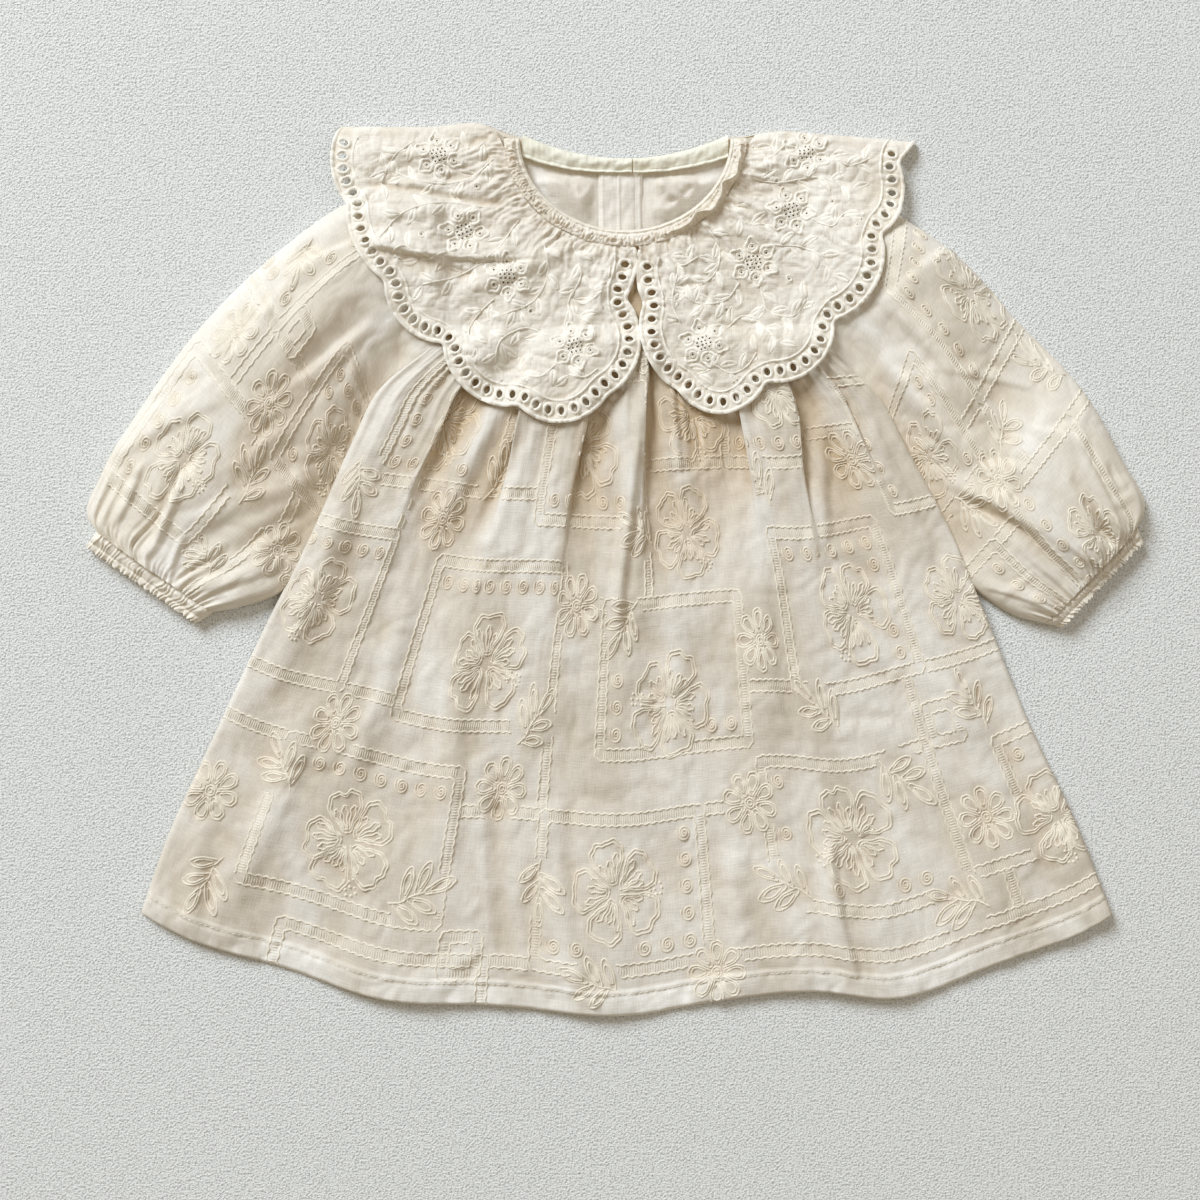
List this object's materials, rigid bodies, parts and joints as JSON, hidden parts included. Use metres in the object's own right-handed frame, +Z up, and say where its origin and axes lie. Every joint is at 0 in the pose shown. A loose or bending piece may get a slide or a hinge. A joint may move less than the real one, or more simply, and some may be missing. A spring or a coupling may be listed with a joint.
{
  "type": "baby dress",
  "caption": "Long-sleeved cotton baby dress laid flat front up: A-line skirt gathered into a yoke, balloon sleeves with elastic cuffs, large scalloped openwork collar.",
  "frame": {"origin": "on the surface the dress lies on, under the middle of its outline", "axes": "+X to the right seen from above, +Y towards the neck, +Z up, away from the surface, out of the front of the dress"},
  "size_m": [0.5107, 0.4323, 0.0098],
  "materials": {
    "embroidered_cotton": "cream plain-weave cotton with tonal corded embroidery",
    "openwork_cotton": "ivory cotton with satin-stitched eyelets and scalloped edge",
    "bias_binding": "pale yellow-green cotton tape",
    "shell_button": "pale pearly button"
  },
  "bodies": {
    "root": {"front_yoke": "embroidered_cotton", "front_skirt": "embroidered_cotton", "back_yoke_left": "embroidered_cotton", "back_yoke_right": "embroidered_cotton", "back_skirt": "embroidered_cotton", "placket_inner": "embroidered_cotton", "placket_outer": "embroidered_cotton", "sleeve_left": "embroidered_cotton", "sleeve_right": "embroidered_cotton", "cuff_left": "embroidered_cotton", "cuff_right": "embroidered_cotton", "collar_left": "openwork_cotton", "collar_right": "openwork_cotton", "neck_band": "openwork_cotton", "neck_binding_left": "bias_binding", "neck_binding_right": "bias_binding", "back_button_1": "shell_button", "back_button_2": "shell_button", "back_button_3": "shell_button"}
  },
  "joints": []
}
